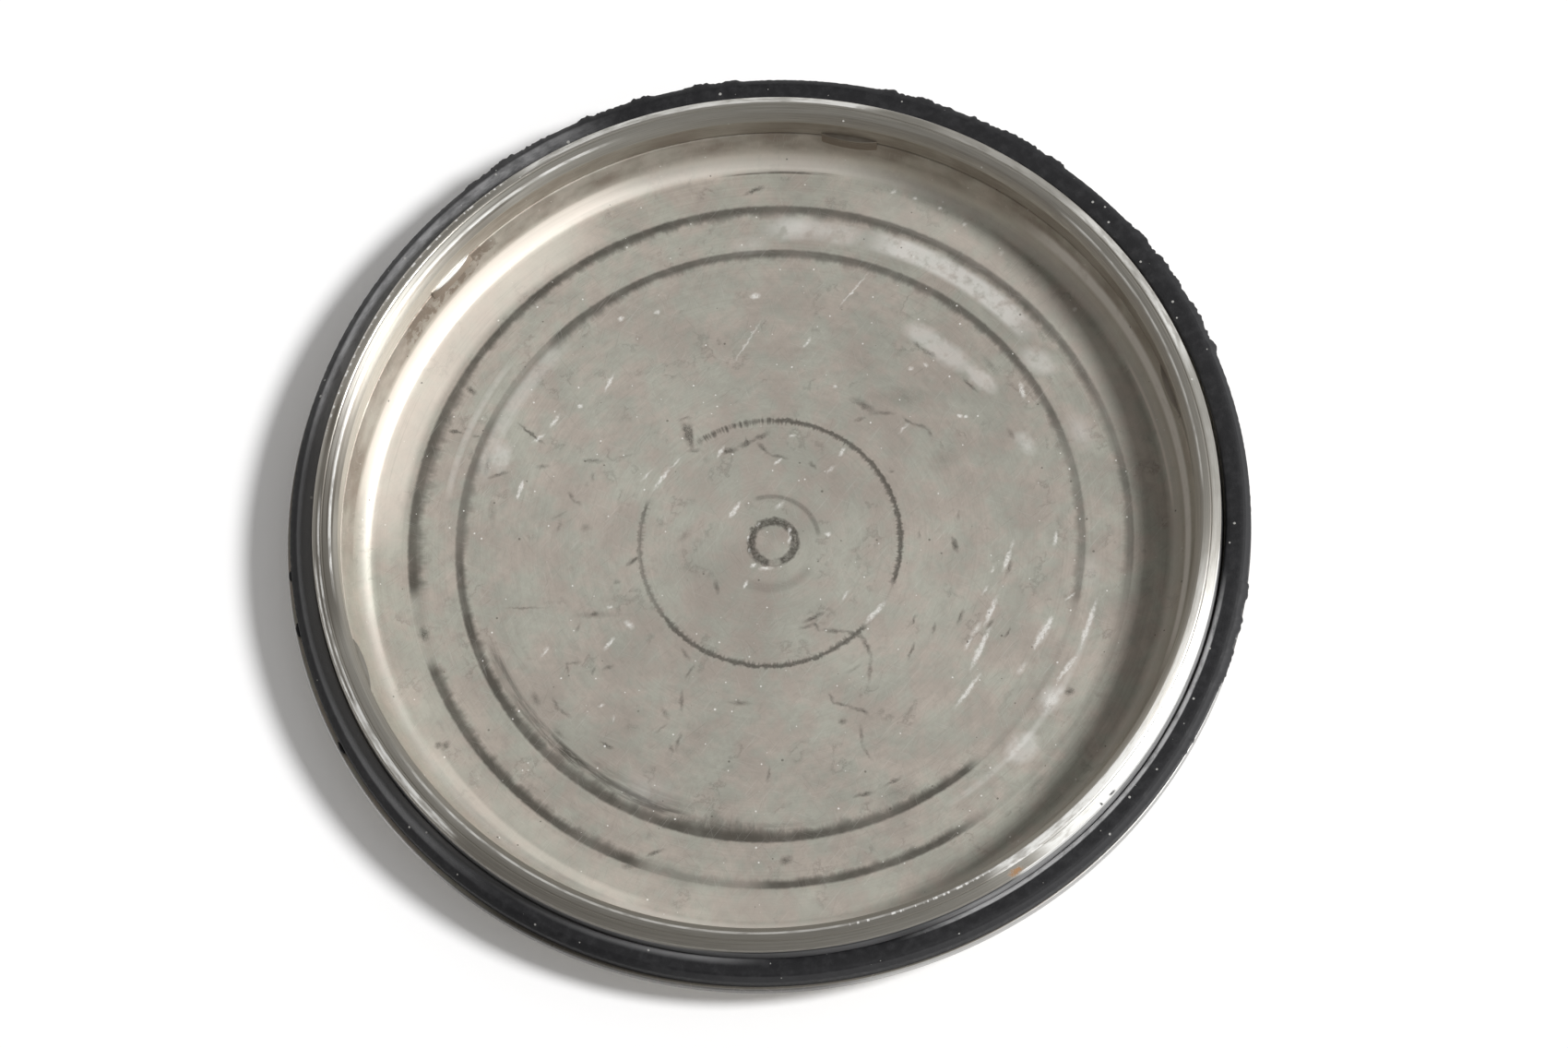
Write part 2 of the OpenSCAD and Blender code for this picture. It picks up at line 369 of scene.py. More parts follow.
# Bright scratches, in the same form
LIGHT_MARKS = (
    (-21.1, 8.4, -20.9, 8.9, 0.2, 1), (-20.8, 9, -20.4, 9.8, 0.24, 1),
    (-17.2, 14.4, -16.2, 15.4, 0.22, 0.7), (-18.9, 13.3, -17.8, 13.8, 0.22, 0.7),
    (-11.9, 16.9, -10.9, 18.2, 0.2, 0.9), (-14.4, 15.8, -14.2, 15.9, 0.22, 0.9),
    (-9.2, 6.8, -7.5, 8.6, 0.22, 0.9), (-10.2, 7.8, -9, 8.8, 0.14, 0.6), (-7.5, 8.5, -6.3, 9.4, 0.14, 0.6),
    (-3.1, 3, -2, 4.2, 0.26, 1), (-3.2, 8.8, -2.5, 9.6, 0.22, 0.9), (1.7, 7.2, 2.2, 7.5, 0.22, 0.9),
    (1.1, 3, 1.8, 3.6, 0.26, 0.5), (3.4, 9.5, 3.9, 9.4, 0.16, 0.7), (24.2, 9.2, 24.2, 10.4, 0.28, 1),
    (9.5, 20.5, 13, 23.5, 0.13, 0.6), (-0.5, 17, 3, 21, 0.12, 0.5), (6, 17.5, 6.8, 18.3, 0.18, 0.8),
    (7.4, 6.9, 7.9, 7.5, 0.22, 0.9), (6, 5.4, 6.8, 6, 0.16, 0.5), (12.8, 7.9, 13.9, 8.7, 0.18, 0.5),
    (18.3, 8.5, 18.5, 8.4, 0.22, 0.9), (18.9, 8.3, 19, 8.3, 0.2, 0.9), (14.9, 13.7, 15.1, 13.7, 0.22, 0.7),
    (16.2, 13.9, 16.4, 13.7, 0.2, 0.7), (8.1, 13.3, 8.2, 13.3, 0.2, 0.7), (2.3, 23.2, 2.9, 23.1, 0.3, 0.8),
    (-15.9, -7, -14.9, -6.1, 0.22, 0.8), (-13.5, -5, -13.2, -5.3, 0.42, 0.6),
    (-21.4, -6.6, -20.7, -5.9, 0.18, 0.6), (-14.9, -3.2, -14.7, -3.2, 0.22, 0.8),
    (-17.2, -12.1, -16.7, -12, 0.16, 0.6), (-16.2, -13.6, -16.1, -13.3, 0.18, 0.6),
    (-1.9, -1.9, -1.6, -1.7, 0.24, 0.9), (-1.3, -2.2, -0.3, -2.4, 0.22, 0.9),
    (-2.9, -3.7, -2.6, -3.2, 0.2, 0.9), (1.6, -0.3, 1.9, 0.2, 0.2, 0.8), (5, -0.2, 5.2, -0.2, 0.25, 0.8),
    (5.3, -6.5, 5.9, -5.8, 0.22, 0.5), (-9.5, 23.3, -9.3, 23.3, 0.25, 0.8),
    (-6.2, 23.3, -6, 23.3, 0.25, 0.8), (7, -8.9, 8.9, -7.4, 0.3, 0.8), (19.6, -6.4, 20.5, -4.8, 0.26, 1),
    (20.6, -4.7, 21, -3.8, 0.2, 0.4), (17.1, -11.2, 18.6, -8.7, 0.3, 0.9),
    (15.1, -15, 17.6, -11.3, 0.32, 1), (13.2, -18.2, 16, -15.4, 0.24, 0.9),
    (15, -13, 15.8, -12.1, 0.24, 0.7), (15.8, -11.9, 16.8, -10.9, 0.32, 0.5),
    (17.4, -8.3, 18, -7.6, 0.18, 0.5), (18.5, -6.5, 18.8, -6, 0.16, 0.6),
    (21, -14, 22.8, -11.8, 0.55, 0.45), (22.1, -12.8, 22.9, -11.6, 0.24, 1.3),
    (21, -14.1, 21.5, -13.1, 0.2, 1.2), (21.7, -13.4, 22.1, -12.4, 0.18, 1.2),
    (19.1, -16.1, 19.9, -15.3, 0.35, 0.4), (24.4, -5, 24.8, -3.8, 0.22, 0.8),
    (24.5, -10.3, 25.3, -9.7, 0.2, 0.7), (22.3, -17.5, 24.6, -15.3, 0.28, 1),
    (24.6, -15.3, 27.2, -10.5, 0.28, 1), (21.2, -19.5, 21.9, -18.5, 0.75, 0.9),
    (22, 26.2, 22.1, 26.2, 0.25, 0.8), (24.6, 22.9, 24.8, 22.9, 0.25, 0.6),
    (16.3, 30.6, 16.5, 30.6, 0.25, 0.8), (18.1, 29.6, 18.2, 29.6, 0.22, 0.7),
    (20.1, 28.2, 20.2, 28.2, 0.22, 0.7), (30.1, 16.4, 30.2, 16.5, 0.25, 0.6),
    (1.75, 0.4, 1.9, 1, 0.18, 0.7), (-1.9, 0.6, -1.7, 1, 0.16, 0.6), (-0.9, 1.8, -0.6, 1.9, 0.14, 0.6),
    (-1.9, -0.5, -1.8, -0.2, 0.14, 0.5),
)
# Rubbed patches, in the same form
RUBBED = (
    (5.2, 29.2, 8.8, 28.7, 1.5, 0.8), (2, 28.1, 4, 28, 1.1, 0.5), (9.6, 28, 12.2, 27.1, 1.2, 0.6),
    (25.4, 12.9, 26.8, 11.5, 1.3, 1.1), (28.3, 6, 28.7, 4, 1.3, 0.6), (23.3, 5.4, 23.9, 4.3, 0.9, 1),
    (15.8, 17.2, 17.6, 15.6, 1.2, 1.2), (17.4, 15.4, 19.6, 13.2, 1.3, 1.1),
    (20.2, 12.4, 21.6, 10.6, 0.9, 1.4), (-22.2, 11.6, -21.4, 13.2, 0.9, 1),
    (21.1, -19.4, 22, -18.4, 1.2, 1.2), (17.9, -23.1, 18.7, -22.7, 1.5, 1.6),
    (26.8, -8.7, 27.2, -7.3, 1.3, 0.4), (-15.7, -19.9, -13.3, -21.1, 2, 0.4),
)
# Lighter arcs, in millimetres and degrees:
# (radius, half width, softness, direction, half angle, softness, strength)
RUBBED_ARCS = (
    (29.8, 0.6, 0.6, 46, 10, 8, 1.5), (29.6, 0.6, 0.7, 68, 6, 8, 0.35), (26.3, 0.4, 0.5, 140, 12, 6, 0.6),
    (28.8, 0.1, 0.3, 147, 10, 5, 0.6), (29, 0.1, 0.3, 315, 18, 6, 0.6),
)
# Painted light near the wall, as arcs in the same form: painted highlights and reflected light on the
# floor and along the sweep, and a lighter patch in the wall's shadow at the upper right
PAINTED_LIGHT_ARCS = (
    (33.9, 1, 1, 139, 18, 18, 0.45), (34.7, 0.25, 0.4, 222, 15, 8, 0.22),
    (33.6, 0.9, 0.9, 232, 34, 18, 0.1), (35.95, 0.35, 0.15, 132, 22, 14, 0.6),
    (35.8, 0.4, 0.5, 100, 30, 18, 0.25), (35.6, 0.3, 0.4, 256, 14, 10, 0.3),
    (35.35, 0.05, 0.12, 6, 9, 4, 0.6), (33, 0.9, 0.9, 35, 22, 14, 0.16),
)
# A painted reflection: the pale band on the wall at the right
WALL_REFLECTION_ARCS = ((36.6, 0.12, 0.28, 6, 28, 12, 1.0),)
# Stretches where a groove's stain is worn away: (direction, half angle, softness, share), in degrees
GROOVE_GAPS = (
    ((319, 16, 5, 0.88), (135, 6, 6, 0.6), (158, 8, 8, 0.3), (45, 40, 20, 0.18), (354, 14, 8, 0.35)),
    ((184, 4, 4, 0.8), (249, 7, 5, 0.6), (318, 18, 12, 0.85), (357, 14, 10, 0.42), (45, 30, 20, 0.15)),
)
# Stretches where a groove's dirt is drawn further in, in the same form, with the extra share below 0
GROOVE_PULLS = (
    ((204, 14, 12, -0.3), (238, 12, 14, -0.9), (268, 16, 14, -0.6), (140, 20, 15, -0.4)),
    ((166, 14, 14, -1.0), (215, 20, 15, -0.4), (70, 30, 15, -0.3)),
)
# Gaps in the same form: in the scribed circle, the centre ring, the painted light on the sweep and the
# darkened lip
SCRIBE_GAPS = ((132, 14, 8, 1.0), (318, 9, 5, 0.9), (180, 20, 10, 0.35))
MARK_GAPS = ((272, 7, 14, 0.65),)
SWEEP_LIGHT_GAPS = ((200, 26, 20, 0.45),)
LIP_GAPS = ((195, 24, 10, 1.0),)
# Dirt rubbed along the inside of the inner groove, and a dark line along the crease, as arcs
SMEARS = (
    (26.05, 0.32, 0.35, 206, 12, 6, 0.6), (26.1, 0.25, 0.4, 228, 8, 8, 0.5),
    (25.4, 0.4, 0.7, 233, 7, 7, 0.35), (26.3, 0.25, 0.4, 250, 14, 8, 0.3),
    (35.05, 0.06, 0.12, 79, 6, 4, 1),
)
# Faint arcs round the centre
CENTRE_ARCS = ((4.3, 0.08, 0.26, 48, 44, 10, 0.5), (4.2, 0.15, 0.60, 274, 30, 22, 0.26))
# Layers of fine scratches: (angle in degrees, length, strength)
DARK_SCRATCHES = ((28, 3.0, 0.15), (117, 4.0, 0.12), (64, 2.4, 0.13))
LIGHT_SCRATCHES = ((42, 4.0, 0.16), (150, 3.0, 0.11), (95, 2.4, 0.11))

BROWN = rgb(0.255, 0.205, 0.165)
DIRT = rgb(0.095, 0.086, 0.070)
BLACK = rgb(0.05, 0.05, 0.052)
PAINTED_LIGHT = rgb(0.86, 0.79, 0.71)
BARE_TONES = (rgb(0.50, 0.474, 0.423), rgb(0.615, 0.586, 0.522))
BARE_TINTS = (rgb(1.05, 0.985, 0.975), rgb(0.96, 1.005, 0.985))


def groove_stain(t, radius, gaps, pulls):
    """Dirt in a ring groove: sharp on the outside, drawn out in hairs on the inside."""
    jag = t.math("SUBTRACT", t.vector("LENGTH", t.ragged), t.radius)
    off = t.linear(jag, 0.35, t.math("SUBTRACT", t.radius, radius))
    hairs = t.noise(t.ring(150.0, 0.5), 1.0, 2.0, 0.6)
    worn = t.noise(t.ring(24.0, 0.4), 1.0, 3.0, 0.65)
    reach = t.linear(hairs, 0.18, worn)
    reach = t.product(t.ramp(reach, 0.38, 0.85, -0.45, -1.0), t.gaps(pulls))
    inside = t.ramp(off, reach, -0.05)
    outside = t.ramp(off, 0.54, 0.24)
    patchy = t.ramp(t.noise(t.ring(7.0, 0.2), 1.0, 3.0, 0.65), 0.30, 0.62, 0.76, 1.0)
    return t.product(inside, outside, patchy, t.gaps(gaps))


def centre_stain(t, fine):
    """The scribed circle, the ring round the centre and the faint arcs near it."""
    off = t.math("SUBTRACT", t.vector("LENGTH", t.ragged), SCRIBE_R)
    ticks = t.ramp(t.noise(t.ring(62.0, 0.1), 1.0, 1.0), 0.36, 0.64)
    inside = t.ramp(off, t.linear(ticks, -0.26, -0.27), -0.05)
    outside = t.ramp(off, t.linear(ticks, 0.14, 0.25), 0.08)
    broken = t.linear(t.sector(97, 14, 8), t.linear(ticks, 0.7, -0.7), 1.0)
    line = t.product(inside, outside, broken, t.ramp(fine, 0.25, 0.55, 0.6, 1.0), t.gaps(SCRIBE_GAPS))
    middle = t.vector("SUBTRACT", t.ragged, (*MARK_SHIFT, 0))
    ring = t.band(MARK_R - 0.16, 0.20, 0.32, t.vector("LENGTH", middle))
    speckle = t.ramp(t.noise(t.place, 4.0, 3.0, 0.7), 0.36, 0.58, 0.56, 0.95)
    ring = t.product(ring, speckle, t.gaps(MARK_GAPS))
    arcs = t.product(t.arcs(CENTRE_ARCS), t.ramp(fine, 0.30, 0.55, 0.5, 1.0))
    return t.largest(t.product(line, 0.9), ring, arcs)


def floor_stain(t, fine):
    """All the dark dirt on the floor, 0 to 1."""
    dark = t.product(t.marks(DARK_MARKS), t.ramp(fine, 0.30, 0.60, 0.36, 0.88))
    ridge = t.math("ABSOLUTE", t.math("SUBTRACT", t.noise(t.place, 0.45, 3.0, 0.6), 0.5))
    squiggles = t.ramp(ridge, 0.05, 0.015)
    where = t.ramp(t.noise(t.place, 0.35, 2.0), 0.56, 0.66, 0.0, 0.30)
    squiggles = t.product(squiggles, where, t.ramp(fine, 0.3, 0.6))
    stain = t.largest(dark, squiggles, centre_stain(t, fine), *t.strewn(DARK_SCRATCHES))
    strands = t.noise(t.ring(7.0, 2.6), 1.0, 4.0, 0.7)
    stain = t.largest(stain, t.product(t.arcs(SMEARS), t.ramp(strands, 0.36, 0.58, 0.35, 1.0)))
    for groove, gaps, pulls in zip(GROOVES, GROOVE_GAPS, GROOVE_PULLS):
        stain = t.largest(stain, groove_stain(t, groove, gaps, pulls))
    return stain


def bare_colour(t, streaks, clouds, grain):
    """Bare metal in blotches of two tints, with clouds, grain and turning streaks."""
    mottle = t.ramp(t.noise(t.place, 0.22, 4.0, 0.6), 0.3, 0.7)
    colour = t.mix(mottle, *BARE_TONES)
    tint = t.ramp(t.noise(t.place, 0.42, 3.0, 0.6), 0.36, 0.64)
    colour = t.mix(1.0, colour, t.mix(tint, *BARE_TINTS), "MULTIPLY")
    colour = t.mix(t.ramp(t.radius, 13.0, 4.0, 0.0, 0.10), colour, rgb(0.30, 0.285, 0.25))
    colour = t.mix(t.ramp(clouds, 0.42, 0.70, 0.0, 0.30), colour, rgb(0.38, 0.355, 0.31))
    colour = t.mix(t.ramp(grain, 0.35, 0.75, 0.0, 0.13), colour, rgb(0.42, 0.395, 0.35))
    return t.mix(t.ramp(streaks, 0.40, 0.75, 0.0, 0.25), colour, rgb(0.44, 0.41, 0.36))


def wall_colour(t, colour, clouds):
    """Paints light on the sweep, browns the wall in streaks of stain and painted dark reflection, paints
    the lug's shadow below it, greys the flange's edge with painted shade on it, and darkens the flange
    beside the seal.
    """
    # The sweep is painted lighter, a painted light along its bright band
    sweep = t.product(t.ramp(t.radius, FLOOR_R - 0.1, FLOOR_R + 0.5), t.ramp(t.radius, 37.4, 37.3))
    colour = t.mix(t.product(sweep, t.gaps(SWEEP_LIGHT_GAPS), 0.5), colour, rgb(0.80, 0.77, 0.71))
    # Brown streaks on the wall, partly stain and partly painted dark reflection
    runs = t.ramp(t.noise(t.ring(7.0, 0.0, 0.35), 1.0, 3.0, 0.6), 0.30, 0.70, 0.20, 0.75)
    side = t.linear(t.sector(85, 55, 40), 0.75, 0.25)
    brown = t.product(t.ramp(t.height, FLOOR_Z + 0.8, FLOOR_Z + 2.2), runs, side)
    # Painted shadow of the lug at 129 degrees on the wall below it
    painted_lug_shadow = t.product(t.sector(131, 7, 6), t.ramp(t.height, FLOOR_Z + 1.3, FLOOR_Z + 1.8, 0.0, 0.9))
    painted_lug_shadow = t.product(painted_lug_shadow, t.ramp(clouds, 0.35, 0.55))
    tan = t.product(t.sector(140, 26, 14), t.ramp(t.height, FLOOR_Z + 1.2, FLOOR_Z + 1.7), runs)
    colour = t.mix(t.largest(brown, painted_lug_shadow, tan), colour, BROWN)
    edge = t.ramp(t.radius, FLANGE_R - 0.2, FLANGE_R - 0.1)
    colour = t.mix(t.product(edge, 0.8), colour, rgb(0.52, 0.52, 0.52))
    # Painted shade on the flange's edge at the lower left and at the right
    painted_edge_shade = t.largest(t.product(t.sector(244, 20, 12), 0.75), t.sector(350, 14, 8))
    colour = t.mix(t.product(edge, painted_edge_shade), colour, rgb(0.12, 0.115, 0.11))
    # The flange's top beside and under the seal is darkened, save at the left
    lip = t.product(t.ramp(t.radius, 39.0, 39.5), t.ramp(t.radius, FLANGE_R - 0.10, FLANGE_R - 0.20))
    lip = t.product(lip, t.ramp(t.height, FLANGE_Z - 0.1, FLANGE_Z - 0.05), t.gaps(LIP_GAPS))
    return t.mix(lip, colour, rgb(0.2, 0.185, 0.16))


def rubbed_share(t, clouds, grain, fine):
    """Where the floor is rubbed or scratched to a matt white, 0 to 1."""
    light = t.product(t.marks(LIGHT_MARKS), t.ramp(fine, 0.35, 0.55, 0.5, 1.0))
    light = t.product(light, t.ramp(grain, 0.36, 0.54, 0.45, 1.2))
    patches = t.math("ADD", t.marks(RUBBED), t.arcs(RUBBED_ARCS))
    patches = t.product(patches, t.ramp(clouds, 0.32, 0.55, 0.35, 1.0), 0.48)
    rubbed = t.largest(patches, light, t.specks(1.7, 0.09, 0.80), t.specks(0.7, 0.11, 0.80))
    return t.capped(t.largest(rubbed, *t.strewn(LIGHT_SCRATCHES)))


# The floor is dulled by a film of oxide, and the wall is barer metal
FLOOR_METALLIC = 0.60
WALL_METALLIC = 0.87
FLOOR_DULL = 0.79


def pan_metal():
    t = Polar("pan_metal")
    streaks = t.noise(t.ring(1.2, 5.0, 5.0), 1.0, 4.0, 0.7)
    clouds = t.noise(t.place, 0.9, 5.0, 0.65)
    grain = t.noise(t.place, 5.0, 3.0, 0.7)
    fine = t.noise(t.place, 13.0, 2.0, 0.7)
    above = t.ramp(t.height, 0.3 * FLOOR_Z, 0.6 * FLOOR_Z)
    floor = t.ramp(t.radius, FLOOR_R + 0.2, FLOOR_R - 0.4)
    stain = t.product(floor_stain(t, fine), above)
    colour = bare_colour(t, streaks, clouds, grain)
    colour = t.mix(t.product(stain, 0.90), colour, DIRT)
    colour = t.scaled(colour, t.linear(floor, FLOOR_DULL - 1.0, 1.0))
    colour = wall_colour(t, colour, clouds)
    rubbed = t.product(rubbed_share(t, clouds, grain, fine), above)
    colour = t.mix(t.product(rubbed, 0.75), colour, rgb(0.78, 0.77, 0.74))
    # Painted highlights and reflected light near the wall, matt
    pale = t.product(t.capped(t.arcs(PAINTED_LIGHT_ARCS)), t.ramp(streaks, 0.25, 0.5, 0.6, 1.0))
    colour = t.mix(pale, colour, PAINTED_LIGHT)
    # The pale band on the wall at the right, a painted reflection of the lit floor and sweep opposite
    wall = t.product(t.capped(t.arcs(WALL_REFLECTION_ARCS)), t.ramp(clouds, 0.3, 0.5, 0.75, 1.0))
    colour = t.mix(wall, colour, rgb(0.98, 0.94, 0.88))
    colour = t.mix(t.product(t.specks(1.3, 0.12, 0.86), 0.6), colour, DIRT)

    matt = t.largest(t.product(rubbed, 0.8), pale, wall)
    metallic = t.linear(floor, FLOOR_METALLIC - WALL_METALLIC, WALL_METALLIC)
    metallic = t.product(metallic, t.rest(matt))
    rough = t.linear(floor, 0.12, t.ramp(streaks, 0.3, 0.7, 0.50, 0.58))
    shader = round_brushed(t, 0.15, colour, metallic, t.linear(stain, 0.15, rough))
    return t.finish(shader, [(0.004, streaks), (0.004, grain)])


TURNED_TONES = (rgb(0.68, 0.655, 0.60), rgb(0.55, 0.525, 0.47))
# Bright arcs on the rim, in the form of the floor's arcs: scuffs, and painted highlights where the rim's
# bevels catch the light
RIM_SCUFFS_AND_HIGHLIGHTS = (
    (39.2, 0.26, 0.12, 23, 7, 9, 0.55), (39.1, 0.3, 0.12, 44, 8, 8, 0.25),
    (39.25, 0.2, 0.1, 90, 21, 5, 0.75), (39.35, 0.04, 0.08, 196, 20, 2, 0.9),
    (38.98, 0.05, 0.08, 191, 21, 6, 0.8), (39.15, 0.06, 0.1, 206, 10, 2, 0.7),
    (39.2, 0.2, 0.15, 2, 14, 6, 0.2), (38, 0.06, 0.1, 140, 34, 8, 0.8), (38, 0.06, 0.1, 255, 44, 10, 0.5),
    (38, 0.05, 0.1, 15, 18, 6, 0.5), (38.35, 0.35, 0.1, 304, 10, 5, 1), (39.2, 0.45, 0.06, 309, 8, 6, 1),
    (38.85, 0.8, 0.06, 324, 12, 12, 0.6), (38.45, 0.25, 0.15, 140, 16, 10, 0.15),
)
# Duller stretches of the rim, in the same form
RIM_DULL = (
    (38.5, 0.6, 0.3, 169, 11, 8, 0.7), (39.15, 0.2, 0.08, 138, 16, 8, 0.6),
    (37.6, 0.3, 0.1, 143, 20, 8, 0.75), (38.22, 0.04, 0.06, 143, 24, 8, 0.6),
    (37.8, 0.05, 0.06, 143, 24, 8, 0.7),
)
# Nicks and rust on the rim, in the form of the floor's marks
RIM_NICKS = ((23.8, -31.3, 23.9, -31.5, 0.15, 1.0), (24.7, -30.8, 25.2, -30.4, 0.18, 1.0))
RIM_RUST = ((15.2, -36.2, 15.6, -36.1, 0.45, 1.0), (15.7, -35.9, 16.1, -35.8, 0.35, 0.8))


def rim_scuffs_and_highlights(t, fine, top, shoulder):
    """Where the neck is scuffed to a matt white or has painted highlights: on the rim, its shoulder and
    one lug's ledge.
    """
    uneven = t.ramp(t.noise(t.ring(16.0, 2.0), 1.0, 3.0, 0.65), 0.36, 0.58, 0.45, 1.1)
    scuffs = t.product(t.arcs(RIM_SCUFFS_AND_HIGHLIGHTS), top, t.ramp(fine, 0.30, 0.52, 0.45, 1.0), uneven)
    # Painted highlight on the top of the ledge of the lug at 129 degrees
    ledge = t.product(t.sector(129, 2.4, 1.2), t.ramp(t.height, FLANGE_Z + 0.4, FLANGE_Z + 0.6))
    ledge = t.product(ledge, t.ramp(t.radius, BORE_R - 0.02, BORE_R - 0.08))
    ledge = t.product(ledge, t.ramp(fine, 0.35, 0.50, 0.2, 1.0))
    dots = t.ramp(t.noise(t.ring(110.0, 0.5), 1.0, 2.0), 0.52, 0.60)
    far = t.product(t.band(39.42, 0.05, 0.08), t.sector(136, 18, 5))
    near = t.product(t.band(38.05, 0.06, 0.10), t.sector(283, 10, 4))
    dots = t.product(dots, t.largest(far, near))
    specks = t.product(t.specks(0.9, 0.11, 0.72), 0.8)
    return t.capped(t.largest(scuffs, ledge, dots, shoulder, specks))


def neck_metal():
    t = Polar("neck_metal")
    streaks = t.noise(t.ring(1.0, 9.0, 9.0), 1.0, 4.0, 0.7)
    fine = t.noise(t.ring(9.0, 12.0, 12.0), 1.0, 4.0, 0.7)
    grain = t.noise(t.place, 5.0, 3.0, 0.7)
    colour = t.mix(t.ramp(streaks, 0.3, 0.7), *TURNED_TONES)
    colour = t.mix(t.ramp(fine, 0.40, 0.75, 0.0, 0.45), colour, rgb(0.34, 0.32, 0.28))
    top = t.ramp(t.height, RIM_Z - 0.75, RIM_Z - 0.55)
    dull = t.product(t.linear(t.sector(254, 34, 4), 0.25, t.arcs(RIM_DULL)), top)
    colour = t.mix(dull, colour, rgb(0.24, 0.22, 0.19))
    runs = t.ramp(t.noise(t.ring(7.0, 0.0, 0.35), 1.0, 3.0, 0.6), 0.30, 0.70, 0.25, 0.75)
    bore = t.ramp(t.height, RIM_Z - 0.6, RIM_Z - 0.9)
    bore = t.product(bore, t.ramp(t.radius, BORE_R + 0.5, BORE_R + 0.3))
    side = t.linear(t.sector(65, 50, 30), 0.7, 0.2)
    colour = t.mix(t.product(bore, runs, side), colour, BROWN)
    # The lugs' tongues are painted lighter, a painted light that evens them with the lit wall behind
    tongue = t.ramp(t.radius, BORE_R - 0.02, BORE_R - 0.06)
    tongue = t.product(tongue, t.ramp(t.height, FLANGE_Z + 0.65, FLANGE_Z + 0.55))
    colour = t.mix(tongue, colour, rgb(0.58, 0.55, 0.49))
    # The tongues of the lugs at 69 and 129 degrees get a painted brown shade
    painted_lug_shade = t.largest(t.sector(69, 6, 4), t.sector(129, 6, 4))
    colour = t.mix(t.product(tongue, painted_lug_shade, 0.85), colour, BROWN)

    outer = t.ramp(t.radius, SPIGOT_R - 0.10, SPIGOT_R - 0.03)
    # A painted highlight on the spigot's shoulder at the lower right
    shoulder = t.product(outer, t.sector(319, 24, 3), t.ramp(t.height, RIM_Z - 1.05, RIM_Z - 0.85))
    scuffs = rim_scuffs_and_highlights(t, fine, top, shoulder)
    colour = t.mix(t.product(scuffs, 0.9), colour, rgb(0.90, 0.90, 0.875))
    # Black on the spigot's outer wall at the near side, below its shoulder: painted shade, with the black
    # rubber reflected in it; the rim's nicks join it
    shade_and_nicks = t.product(outer, t.ramp(t.height, RIM_Z - 0.5, RIM_Z - 0.7), t.sector(305, 45, 16))
    shade_and_nicks = t.product(shade_and_nicks, t.rest(shoulder))
    edge = t.ramp(t.height, RIM_Z - 0.40, RIM_Z - 0.28)
    shade_and_nicks = t.largest(shade_and_nicks, t.product(t.marks(RIM_NICKS), edge))
    colour = t.mix(shade_and_nicks, colour, BLACK)
    low = t.product(outer, t.ramp(t.height, RIM_Z - 0.85, RIM_Z - 1.05))
    # A dark grey on the spigot's foot above the seal at the lower left
    spigot_foot_grey = t.product(low, t.sector(240, 32, 10))
    colour = t.mix(spigot_foot_grey, colour, rgb(0.20, 0.20, 0.205))
    # Painted shade in the gap beside the seal at the lower right, a grey on the spigot's foot
    painted_gap_shade = t.product(low, t.sector(312, 22, 14), t.ramp(fine, 0.35, 0.55, 0.35, 1.0))
    colour = t.mix(painted_gap_shade, colour, rgb(0.40, 0.40, 0.40))
    rust = t.product(t.marks(RIM_RUST), t.ramp(grain, 0.35, 0.55), edge)
    colour = t.mix(t.capped(rust, 0.9), colour, rgb(0.32, 0.16, 0.06))

    matt = t.largest(t.product(scuffs, 0.85), t.product(tongue, 0.2), shade_and_nicks, spigot_foot_grey, painted_gap_shade)
    metallic = t.rest(t.largest(matt, t.capped(rust)))
    shader = round_brushed(t, 0.85, colour, metallic, t.ramp(fine, 0.3, 0.7, 0.34, 0.46))
    return t.finish(shader, [(0.004, streaks), (0.008, fine)])


RUBBER_TONES = (rgb(0.0085, 0.0085, 0.010), rgb(0.025, 0.025, 0.027))


def seal_dust_and_light(t):
    """Dust and scuffs on the seal, thick on its top face at the left, with painted light where the neck
    shades the top, 0 to 1.
    """
    out = t.math("SUBTRACT", t.radius, t.vector("DOT_PRODUCT", t.direction, (*SEAL_SHIFT, 0)))
    face = t.ramp(t.height, SEAL_Z - 0.5, SEAL_Z - 0.3)
    face = t.product(face, t.ramp(out, SEAL_OUT - 0.5, SEAL_OUT - 0.75))
    scuff = t.noise(t.ring(20.0, 1.4), 1.0, 5.0, 0.7)
    # At the left and lower left the top grows lighter towards the neck: painted light in the neck's shade,
    # over the dust
    left = t.product(t.sector(172, 32, 24), t.ramp(out, SEAL_IN, SEAL_IN + 1.6, 0.55, 0.2))
    far = t.product(t.sector(130, 14, 18), t.ramp(scuff, 0.30, 0.70, 0.25, 0.70))
    low = t.product(t.sector(233, 17, 12), t.ramp(out, SEAL_IN + 0.8, SEAL_IN + 0.1, 0.0, 0.45))
    dusty = t.math("ADD", t.math("ADD", left, far), low)
    dusty = t.product(dusty, t.linear(face, 0.80, 0.20))
    inner = t.product(t.sector(310, 20, 14), t.ramp(out, SEAL_IN + 0.36, SEAL_IN + 0.22))
    inner = t.product(inner, t.ramp(scuff, 0.3, 0.55, 0.35, 1.0))
    return t.capped(t.largest(dusty, inner))


